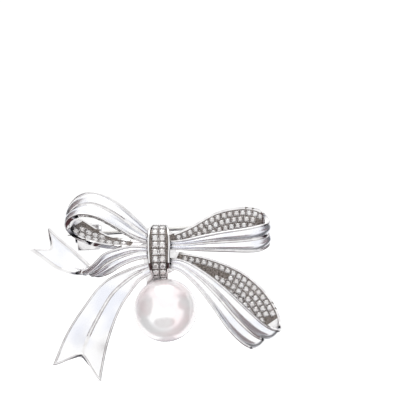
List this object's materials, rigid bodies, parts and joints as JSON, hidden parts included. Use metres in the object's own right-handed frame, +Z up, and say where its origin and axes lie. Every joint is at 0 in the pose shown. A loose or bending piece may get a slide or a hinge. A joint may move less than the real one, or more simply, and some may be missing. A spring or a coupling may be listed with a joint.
{
  "type": "brooch",
  "caption": "Ribbon bow brooch with stone-set loops, a banded knot, a hanging pearl, and a hinged pin that a turning safety catch holds.",
  "frame": {"origin": "on the pin stem's axis, at the middle of its plain stretch between the collar and the tapered point", "axes": "-X along the pin towards its point, +Y out of the brooch's back, +Z up as worn"},
  "size_m": [0.0494, 0.0156, 0.038],
  "materials": {
    "satin_rhodium": "satin rhodium plate with polished rims",
    "polished_rhodium": "mirror-polished rhodium plate",
    "spring_steel": "drawn stainless wire",
    "clear_stone": "faceted and polished",
    "pearl_nacre": "nacre lustre"
  },
  "bodies": {
    "bow": {"ribbon_upper_left": "satin_rhodium", "ribbon_upper_right": "satin_rhodium", "ribbon_lower_right": "satin_rhodium", "tail_left": "satin_rhodium", "tail_lower_left": "satin_rhodium", "pave_upper_left": "polished_rhodium", "pave_upper_right": "polished_rhodium", "pave_lower_right": "polished_rhodium", "stones_upper_left": "clear_stone", "stones_upper_right": "clear_stone", "stones_lower_right": "clear_stone", "stones_knot": "clear_stone", "knot_band": "polished_rhodium", "knot_core": "polished_rhodium", "knot_back_plate": "polished_rhodium", "pearl": "pearl_nacre", "pearl_cup": "polished_rhodium", "pearl_peg": "polished_rhodium", "pearl_strap": "polished_rhodium", "strap_rivet": "polished_rhodium", "hinge_bracket": "polished_rhodium", "hinge_rivet": "spring_steel", "catch_base": "polished_rhodium", "catch_housing": "polished_rhodium"},
    "pin": {"pin_knuckle": "polished_rhodium", "pin_stem": "spring_steel"},
    "rotor": {"catch_rotor": "polished_rhodium"}
  },
  "joints": [
    {"name": "pin_hinge", "type": "hinge", "parent": "bow", "child": "pin", "pos_m": [0.0167, 0, 0], "axis": [0, 0, -1], "range_deg": [0, 65]},
    {"name": "catch_turn", "type": "hinge", "parent": "bow", "child": "rotor", "pos_m": [-0.0133, 0, 0], "axis": [-1, 0, 0], "range_deg": [0, 90]}
  ]
}
